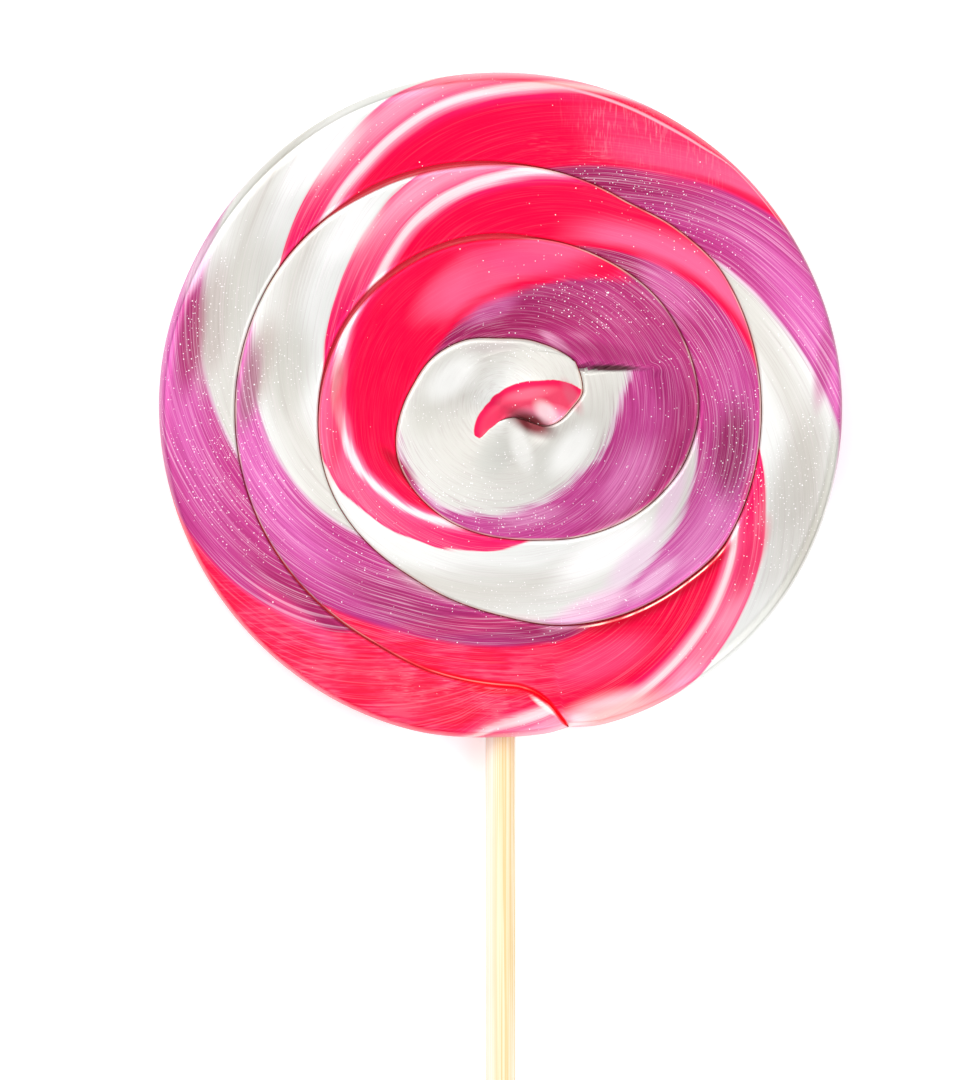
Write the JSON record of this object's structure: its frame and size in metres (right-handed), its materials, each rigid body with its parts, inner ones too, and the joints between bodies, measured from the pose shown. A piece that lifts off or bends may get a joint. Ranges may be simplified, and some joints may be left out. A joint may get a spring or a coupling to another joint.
{
  "type": "swirl lollipop",
  "caption": "Flat round lollipop: a twisted rope of candy coiled into a disc, with a notch where its end is tucked in and a small hook in the middle, on a round bamboo stick.",
  "frame": {"origin": "middle of the candy disc on its flat back, the surface it lies on", "axes": "+Z out of the shown face, +Y away from the stick, the stick along -Y, +X to the right as seen from above"},
  "size_m": [0.0902, 0.1978, 0.0104],
  "materials": {
    "pulled_candy": "glossy pulled sugar with brushed streaks along its stripes: hot red, pink, pearl white and orchid purple, with fine glitter",
    "bamboo": "bare pale bamboo with fine lengthwise fibres"
  },
  "bodies": {
    "root": {"candy_swirl": "pulled_candy", "stick": "bamboo"}
  },
  "joints": []
}
